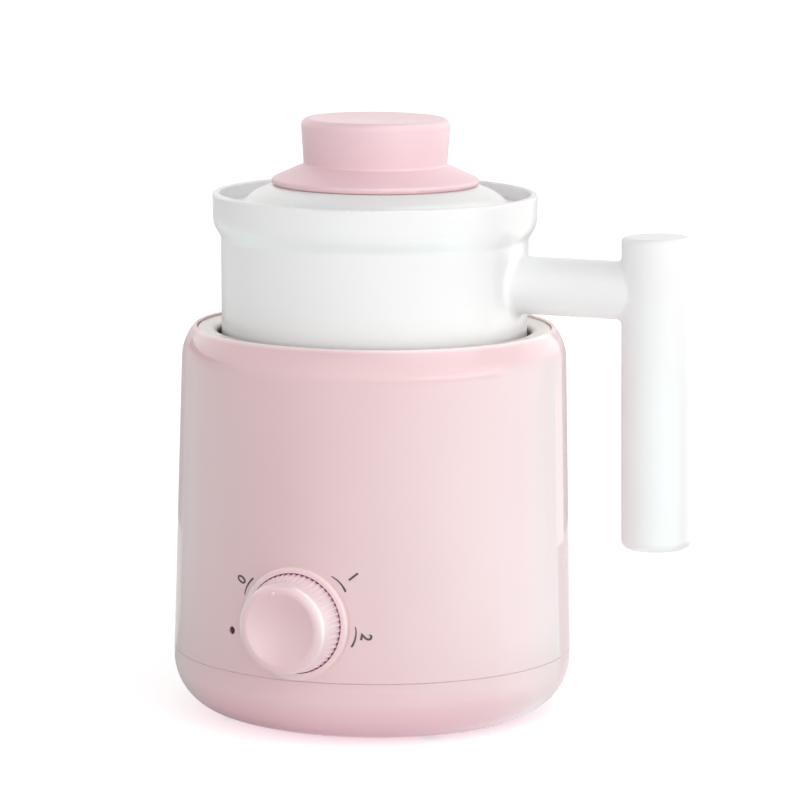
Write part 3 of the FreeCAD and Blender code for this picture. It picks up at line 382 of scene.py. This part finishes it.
def printed(name, flat_points, faces):
    """Closed skin of ink over flat (across, up) points, wrapped on the wall."""
    count = len(flat_points)
    front = [on_housing(x, y, INK_PROUD) for x, y in flat_points]
    back = [on_housing(x, y, -INK_SUNK) for x, y in flat_points]
    edges = [edge for face in faces for edge in zip(face, face[1:] + face[:1])]
    shared = set(edges)
    rim = [(start, stop) for start, stop in edges if (stop, start) not in shared]
    skin = [tuple(face) for face in faces]
    skin += [tuple(index + count for index in reversed(face)) for face in faces]
    skin += [(stop, start, start + count, stop + count) for start, stop in rim]
    mesh = bpy.data.meshes.new(name)
    mesh.from_pydata(front + back, [], skin)
    mesh.validate()
    add_piece(name, mesh, INK, "base")


def polar(radius, angle):
    """Flat point at an angle and a distance."""
    turn = math.radians(angle)
    return radius * math.sin(turn), radius * math.cos(turn)


def tapered_arc(name, angle, radius):
    """Arc mark, bowed about its own centre on the dial's side, that swells clockwise and ends round."""
    centre = polar(radius - ARC_BOW, angle)
    inner, outer = [], []
    for step in range(ARC_STEPS + 1):
        share = step / ARC_STEPS
        width = ARC_THIN + (ARC_THICK - ARC_THIN) * share
        if share > ARC_ROUND_FROM:
            into_end = (share - ARC_ROUND_FROM) / (1 - ARC_ROUND_FROM)
            width *= ARC_TIP + (1 - ARC_TIP) * math.sqrt(1 - into_end ** 2)
        here = angle - ARC_HALF_SWEEP + 2 * ARC_HALF_SWEEP * share
        for edge, distance in ((inner, ARC_BOW - width / 2), (outer, ARC_BOW + width / 2)):
            x, y = polar(distance, here)
            edge.append((centre[0] + x, centre[1] + y))
    shift = ARC_STEPS + 1
    faces = [[i + shift, i + 1 + shift, i + 1, i] for i in range(ARC_STEPS)]
    printed(name, inner + outer, faces)


def numeral(name, text, angle, radius):
    """Figure whose top points away from the dial."""
    curve = bpy.data.curves.new(name, "FONT")
    curve.body = text
    curve.align_x = "CENTER"
    curve.align_y = "CENTER"
    curve.resolution_u = NUMERAL_CURVE_STEPS
    curve.offset = NUMERAL_BOLDNESS
    holder = bpy.data.objects.new(name + "_text", curve)
    scene.collection.objects.link(holder)
    bpy.context.view_layer.update()
    evaluated = holder.evaluated_get(bpy.context.evaluated_depsgraph_get())
    flat = bpy.data.meshes.new_from_object(evaluated)
    bpy.data.objects.remove(holder)
    xs = [vertex.co.x for vertex in flat.vertices]
    ys = [vertex.co.y for vertex in flat.vertices]
    scale = NUMERAL_HEIGHT / (max(ys) - min(ys))
    mid_x = (max(xs) + min(xs)) / 2
    mid_y = (max(ys) + min(ys)) / 2
    turn = math.radians(angle)
    centre = polar(radius, angle)
    points = []
    for vertex in flat.vertices:
        x = (vertex.co.x - mid_x) * scale
        y = (vertex.co.y - mid_y) * scale
        points.append((
            centre[0] + x * math.cos(turn) + y * math.sin(turn),
            centre[1] - x * math.sin(turn) + y * math.cos(turn),
        ))
    faces = [list(polygon.vertices) for polygon in flat.polygons]
    bpy.data.meshes.remove(flat)
    printed(name, points, faces)


for name, (angle, radius) in ARCS.items():
    tapered_arc(name, angle, radius)
for text, (angle, radius) in NUMERALS.items():
    numeral("numeral_" + text, text, angle, radius)

# Fine rings in the gaps between mouldings, in metres: a pink fill in the seam, and purple rings that are
# painted shade in the dial's gap
RING_STEPS = 240
SEAM_FILL_DEPTH = 0.0002
SEAM_FILL_REACH = 0.0008
SEAM_FILL_HALF = 0.00005
SHADE_RING_THICKNESS = 0.00007
SHADE_RING_SHY = 0.0001
FLANGE_INSIDE = 0.0159
FLANGE_CLEARANCE = 0.00001
FLANGE_BACK_DEPTH = 0.0006
FLANGE_FRONT_DEPTH = 0.00045


def ring(name, body, material, radii, ends, place):
    """Closed ring of square section; place turns (x, y, distance along the axis) into a point."""
    (inner, outer), (low, high) = radii, ends
    corners = ((inner, low), (outer, low), (outer, high), (inner, high))
    count = len(corners)
    points, faces = [], []
    for step in range(RING_STEPS):
        turn = 2 * math.pi * step / RING_STEPS
        for radius, along in corners:
            points.append(place(radius * math.cos(turn), radius * math.sin(turn), along))
        here, after = count * step, count * ((step + 1) % RING_STEPS)
        for corner in range(count):
            beside = (corner + 1) % count
            faces.append((here + corner, after + corner, after + beside, here + beside))
    mesh = bpy.data.meshes.new(name)
    mesh.from_pydata(points, [], faces)
    return add_piece(name, mesh, material, body)


def upright(x, y, along):
    return Vector((x, y, along))


def facing_front(x, y, along):
    return Vector((x, -along, DIAL_HEIGHT + y))


seam_face = BODY_RADIUS - SEAM_FILL_DEPTH
ring(
    "seam_fill", "base", materials["body_pink"], (seam_face - SEAM_FILL_REACH, seam_face),
    (SEAM_HEIGHT - SEAM_FILL_HALF, SEAM_HEIGHT + SEAM_FILL_HALF), upright
)
# Purple ring in the dial's recess: painted shade in the gap round the knob
shade_ring_inside = DIAL_RECESS_RADIUS - SHADE_RING_THICKNESS
ring(
    "dial_shade_ring", "base", materials["painted_shade_purple"], (shade_ring_inside, DIAL_RECESS_RADIUS),
    (DIAL_RECESS_FLOOR, DIAL_BOSS_FACE - SHADE_RING_SHY), facing_front
)
# Purple ring on the dial: painted shade at the ends of its rib grooves
ring(
    "dial_shade_flange", "dial", materials["painted_shade_purple"], (FLANGE_INSIDE, shade_ring_inside - FLANGE_CLEARANCE),
    (DIAL_BOSS_FACE - FLANGE_BACK_DEPTH, DIAL_BOSS_FACE - FLANGE_FRONT_DEPTH), facing_front
)

# Camera, fitted to the photograph
CAMERA_AZIMUTH = math.radians(22.4)
CAMERA_DISTANCE = 1.492
CAMERA_HEIGHT = 0.33898
CAMERA_FOCAL_PIXELS = 4454
CAMERA_PITCH = math.radians(8.87)
CAMERA_YAW = math.radians(-0.34)
CAMERA_ROLL = math.radians(0.44)
CAMERA_NEAR = 0.05
CAMERA_FAR = 50
IMAGE_PIXELS = 800
SENSOR = 36.0


def add_camera():
    data = bpy.data.cameras.new("camera")
    data.sensor_width = SENSOR
    data.lens = SENSOR * CAMERA_FOCAL_PIXELS / IMAGE_PIXELS
    data.clip_start = CAMERA_NEAR
    data.clip_end = CAMERA_FAR
    camera = bpy.data.objects.new("camera", data)
    scene.collection.objects.link(camera)
    turn = Matrix.Rotation(CAMERA_AZIMUTH + CAMERA_YAW, 3, "Z")
    right = turn @ Vector((1, 0, 0))
    level = turn @ Vector((0, 1, 0))
    ahead = level * math.cos(CAMERA_PITCH) - Vector((0, 0, math.sin(CAMERA_PITCH)))
    up = level * math.sin(CAMERA_PITCH) + Vector((0, 0, math.cos(CAMERA_PITCH)))
    across = right * math.cos(CAMERA_ROLL) + up * math.sin(CAMERA_ROLL)
    top = up * math.cos(CAMERA_ROLL) - right * math.sin(CAMERA_ROLL)
    place = Matrix((across, top, -ahead)).transposed().to_4x4()
    side = CAMERA_DISTANCE * math.sin(CAMERA_AZIMUTH)
    front = CAMERA_DISTANCE * math.cos(CAMERA_AZIMUTH)
    place.translation = Vector((side, -front, CAMERA_HEIGHT))
    camera.matrix_world = place
    scene.camera = camera


add_camera()

# Light
WHITE = (1.0, 1.0, 1.0, 1.0)
WARM_WHITE = (1.0, 0.985, 0.965, 1.0)
COOL_WHITE = (0.74, 0.99, 0.95, 1.0)
LAMP_TARGET = Vector((0, 0, 0.1))
# Degrees between the columns of a swept panel
PANEL_STEP = 3
# Panel before the pot's arm: its place, its heights, and its glow at each end
ARM_FRONT_Y = -0.0125
ARM_FRONT_HEIGHTS = (0.1335, 0.176)
ARM_FRONT_GLOWS = ((0.1, 2.2), (0.056, 2.8))


def around(turn, distance, height):
    """Point at an angle to the right of the camera, seen from above, in degrees."""
    angle = CAMERA_AZIMUTH + math.radians(turn)
    return Vector((distance * math.sin(angle), -distance * math.cos(angle), height))


def soft_box(name, place, width, tall, watts):
    """Broad lamp that faces the object and stays out of its reflections."""
    data = bpy.data.lights.new(name, "AREA")
    data.shape = "RECTANGLE"
    data.size = width
    data.size_y = tall
    data.energy = watts
    light = bpy.data.objects.new(name, data)
    scene.collection.objects.link(light)
    light.location = place
    light.rotation_euler = (LAMP_TARGET - place).to_track_quat("-Z", "Y").to_euler()
    light.visible_glossy = False


def glow_panel(name, columns, colour):
    """Panel for reflections only, lit on one side, from columns of (point, glow)."""
    rows = len(columns[0])
    points = [point for column in columns for point, glow in column]
    faces = []
    for column in range(len(columns) - 1):
        for row in range(rows - 1):
            first = column * rows + row
            faces.append((first, first + 1, first + rows + 1, first + rows))
    mesh = bpy.data.meshes.new(name)
    mesh.from_pydata(points, [], faces)
    levels = mesh.attributes.new("glow", "FLOAT", "POINT")
    levels.data.foreach_set("value", [glow for column in columns for point, glow in column])
    material = bpy.data.materials.new(name)
    material.use_nodes = True
    tree = material.node_tree
    tree.nodes.remove(tree.nodes["Principled BSDF"])
    emission = tree.nodes.new("ShaderNodeEmission")
    attribute = tree.nodes.new("ShaderNodeAttribute")
    attribute.attribute_name = "glow"
    clear = tree.nodes.new("ShaderNodeBsdfTransparent")
    geometry = tree.nodes.new("ShaderNodeNewGeometry")
    sided = tree.nodes.new("ShaderNodeMixShader")
    emission.inputs["Color"].default_value = colour
    tree.links.new(attribute.outputs["Fac"], emission.inputs["Strength"])
    tree.links.new(geometry.outputs["Backfacing"], sided.inputs["Fac"])
    tree.links.new(emission.outputs[0], sided.inputs[1])
    tree.links.new(clear.outputs[0], sided.inputs[2])
    tree.links.new(sided.outputs[0], tree.nodes["Material Output"].inputs["Surface"])
    mesh.materials.append(material)
    panel = bpy.data.objects.new(name, mesh)
    scene.collection.objects.link(panel)
    for kind in ("camera", "diffuse", "transmission", "volume_scatter", "shadow"):
        setattr(panel, "visible_" + kind, False)


def reflector(name, profile, stops, colour=WARM_WHITE):
    """Panel swept round the object.

    The profile is (radius, height, share of the glow) points, and the stops are (turn, glow).
    """
    turns = []
    for (start, glow), (stop, next_glow) in zip(stops, stops[1:]):
        steps = max(1, round((stop - start) / PANEL_STEP))
        for step in range(steps):
            share = step / steps
            turns.append((start + (stop - start) * share, glow + (next_glow - glow) * share))
    turns.append(stops[-1])
    columns = []
    for turn, glow in turns:
        column = [(around(turn, radius, height), glow * share) for radius, height, share in profile]
        columns.append(column)
    glow_panel(name, columns, colour)


soft_box("front", around(-8.0, 1.6, 0.42), width=1.3, tall=0.8, watts=6.2)
soft_box("key", around(55.0, 1.3, 0.6), width=0.9, tall=1.0, watts=2.0)
soft_box("top", around(45.0, 0.5, 1.45), width=1.2, tall=1.2, watts=4.8)

# Low panel for the body, from dark on the left to bright on the right
reflector("front_reflector", [
    (0.056, 0.0015, 0.3), (0.1, 0.0015, 0.5), (0.2, 0.0015, 0.8), (0.2, 0.03, 1.0), (0.2, 0.107, 1.05)
], [
    (-132, 0.8), (-118, 1.3), (-91, 1.4), (-59, 1.15), (-41, 1.2), (-30, 1.7), (-16, 2.2),
    (3.4, 2.75), (13, 3.3), (24, 3.9), (44, 4.7), (67.5, 4.9), (69.5, 4.85)
], COOL_WHITE)
# The side panel stands close in, so that the body doesn't mirror the pot's grip
reflector("side_reflector", [
    (0.056, 0.0015, 0.3), (0.084, 0.0015, 0.6), (0.084, 0.03, 1.0), (0.084, 0.09, 1.0),
    (0.084, 0.1275, 1.05)
], [
    (49, 4.9), (69, 4.1), (77, 3.7), (77.1, 3.2), (92.5, 2.6)
], COOL_WHITE)
# Walls of the studio, for the pot, its handle and the outlines
reflector("far_reflector", [
    (0.36, 0.002, 1.15), (0.36, 0.09, 1.05), (0.36, 0.125, 0.88), (0.36, 0.135, 0.9),
    (0.36, 0.18, 1.6), (0.36, 0.6, 1.6)
], [
    (-142, 1.3), (-90, 1.1), (-46, 1.2), (-24, 1.6), (5, 2.0), (35, 2.5), (68, 2.9), (110, 2.9),
    (142, 2.0)
])
reflector("back_reflector", [
    (0.38, 0.0, 0.4), (0.38, 0.1, 0.5), (0.38, 0.14, 0.7), (0.38, 0.2, 0.8), (0.38, 0.235, 1.2),
    (0.38, 0.6, 1.3)
], [
    (142, 1.3), (180, 1.1), (218, 1.4)
])
# Small panels for the arm's underside and root
reflector("arm_underside", [
    (0.084, 0.1345, 1.0), (0.082, 0.1375, 1.0), (0.0585, 0.1378, 1.0)
], [
    (38, 3.2), (92, 3.6)
])
reflector("arm_root", [(0.0845, 0.1265, 1.0), (0.0845, 0.1346, 1.0)], [(52, 3.4), (80, 3.4)])
# Panels for the lid's knob and for all that faces up, and one before the arm
reflector("crown_reflector", [(0.35, 0.135, 1.0), (0.35, 0.17, 1.0)], [
    (-142, 0.2), (-105, 0.3), (-80, 1.4), (-44, 2.2), (0, 3.2), (35, 7.0), (95, 7.0), (115, 3.0),
    (142, 3.0)
])
reflector("ceiling", [(0.36, 0.6, 1.0), (0.25, 0.78, 1.0), (0.05, 0.82, 1.0)], [
    (-40, 1.2), (5, 2.5), (35, 4.0), (110, 4.5), (142, 3.0)
])
glow_panel("arm_front", [
    [((x, ARM_FRONT_Y, z), glow) for z in ARM_FRONT_HEIGHTS] for x, glow in ARM_FRONT_GLOWS
], WARM_WHITE)

# World and floor: strengths of light on the object, and of what the eye and reflections see
SKY_LIGHT = 0.4
SKY_SEEN = 1.0
FLOOR_HALF = 6.0
FLOOR_DROP = 0.0002
FLOOR_COLOUR = (0.88, 0.88, 0.88, 1.0)
FLOOR_ROUGHNESS = 0.9
FLOOR_LIGHT = 0.22
FLOOR_SEEN_NEAR = 0.55
FLOOR_SEEN_FAR = 0.76
FLOOR_FADE_FROM = 0.15
FLOOR_FADE_TO = 1.2


def strength_by_ray(tree, light):
    """A strength node: light where its rays fall on the object, and To Max where it is seen."""
    path = tree.nodes.new("ShaderNodeLightPath")
    seen = path.outputs["Is Camera Ray"]
    for kind in ("Is Glossy Ray", "Is Transmission Ray"):
        either = tree.nodes.new("ShaderNodeMath")
        either.operation = "MAXIMUM"
        tree.links.new(seen, either.inputs[0])
        tree.links.new(path.outputs[kind], either.inputs[1])
        seen = either.outputs[0]
    strength = tree.nodes.new("ShaderNodeMapRange")
    strength.inputs["To Min"].default_value = light
    tree.links.new(seen, strength.inputs["Value"])
    return strength


def add_world():
    """White to the eye and in reflections, and a plain level of soft light on the object."""
    world = bpy.data.worlds.new("world")
    scene.world = world
    world.use_nodes = True
    tree = world.node_tree
    background = tree.nodes["Background"]
    background.inputs["Color"].default_value = WHITE
    strength = strength_by_ray(tree, SKY_LIGHT)
    strength.inputs["To Max"].default_value = SKY_SEEN
    tree.links.new(strength.outputs["Result"], background.inputs["Strength"])


def fading_glow(tree):
    """Floor glow that grows with distance, where the lamps no longer reach."""
    place = tree.nodes.new("ShaderNodeTexCoord")
    distance = tree.nodes.new("ShaderNodeVectorMath")
    distance.operation = "LENGTH"
    tree.links.new(place.outputs["Object"], distance.inputs[0])
    fade = tree.nodes.new("ShaderNodeMapRange")
    fade.inputs["From Min"].default_value = FLOOR_FADE_FROM
    fade.inputs["From Max"].default_value = FLOOR_FADE_TO
    fade.inputs["To Min"].default_value = FLOOR_SEEN_NEAR
    fade.inputs["To Max"].default_value = FLOOR_SEEN_FAR
    tree.links.new(distance.outputs["Value"], fade.inputs["Value"])
    return fade.outputs["Result"]


def add_floor():
    """Plain white floor that keeps a soft shadow."""
    mesh = bpy.data.meshes.new("floor")
    corners = [(FLOOR_HALF * x, FLOOR_HALF * y, 0) for x, y in ((-1, -1), (1, -1), (1, 1), (-1, 1))]
    mesh.from_pydata(corners, [], [(0, 1, 2, 3)])
    floor = bpy.data.objects.new("floor", mesh)
    floor.location.z = -FLOOR_DROP
    scene.collection.objects.link(floor)
    material = bpy.data.materials.new("floor_white")
    material.use_nodes = True
    tree = material.node_tree
    shader = tree.nodes["Principled BSDF"]
    shader.inputs["Base Color"].default_value = FLOOR_COLOUR
    shader.inputs["Roughness"].default_value = FLOOR_ROUGHNESS
    shader.inputs["Specular IOR Level"].default_value = 0.0
    shader.inputs["Emission Color"].default_value = WHITE
    strength = strength_by_ray(tree, FLOOR_LIGHT)
    tree.links.new(fading_glow(tree), strength.inputs["To Max"])
    tree.links.new(strength.outputs["Result"], shader.inputs["Emission Strength"])
    mesh.materials.append(material)


add_world()
add_floor()
scene.view_settings.view_transform = "Standard"
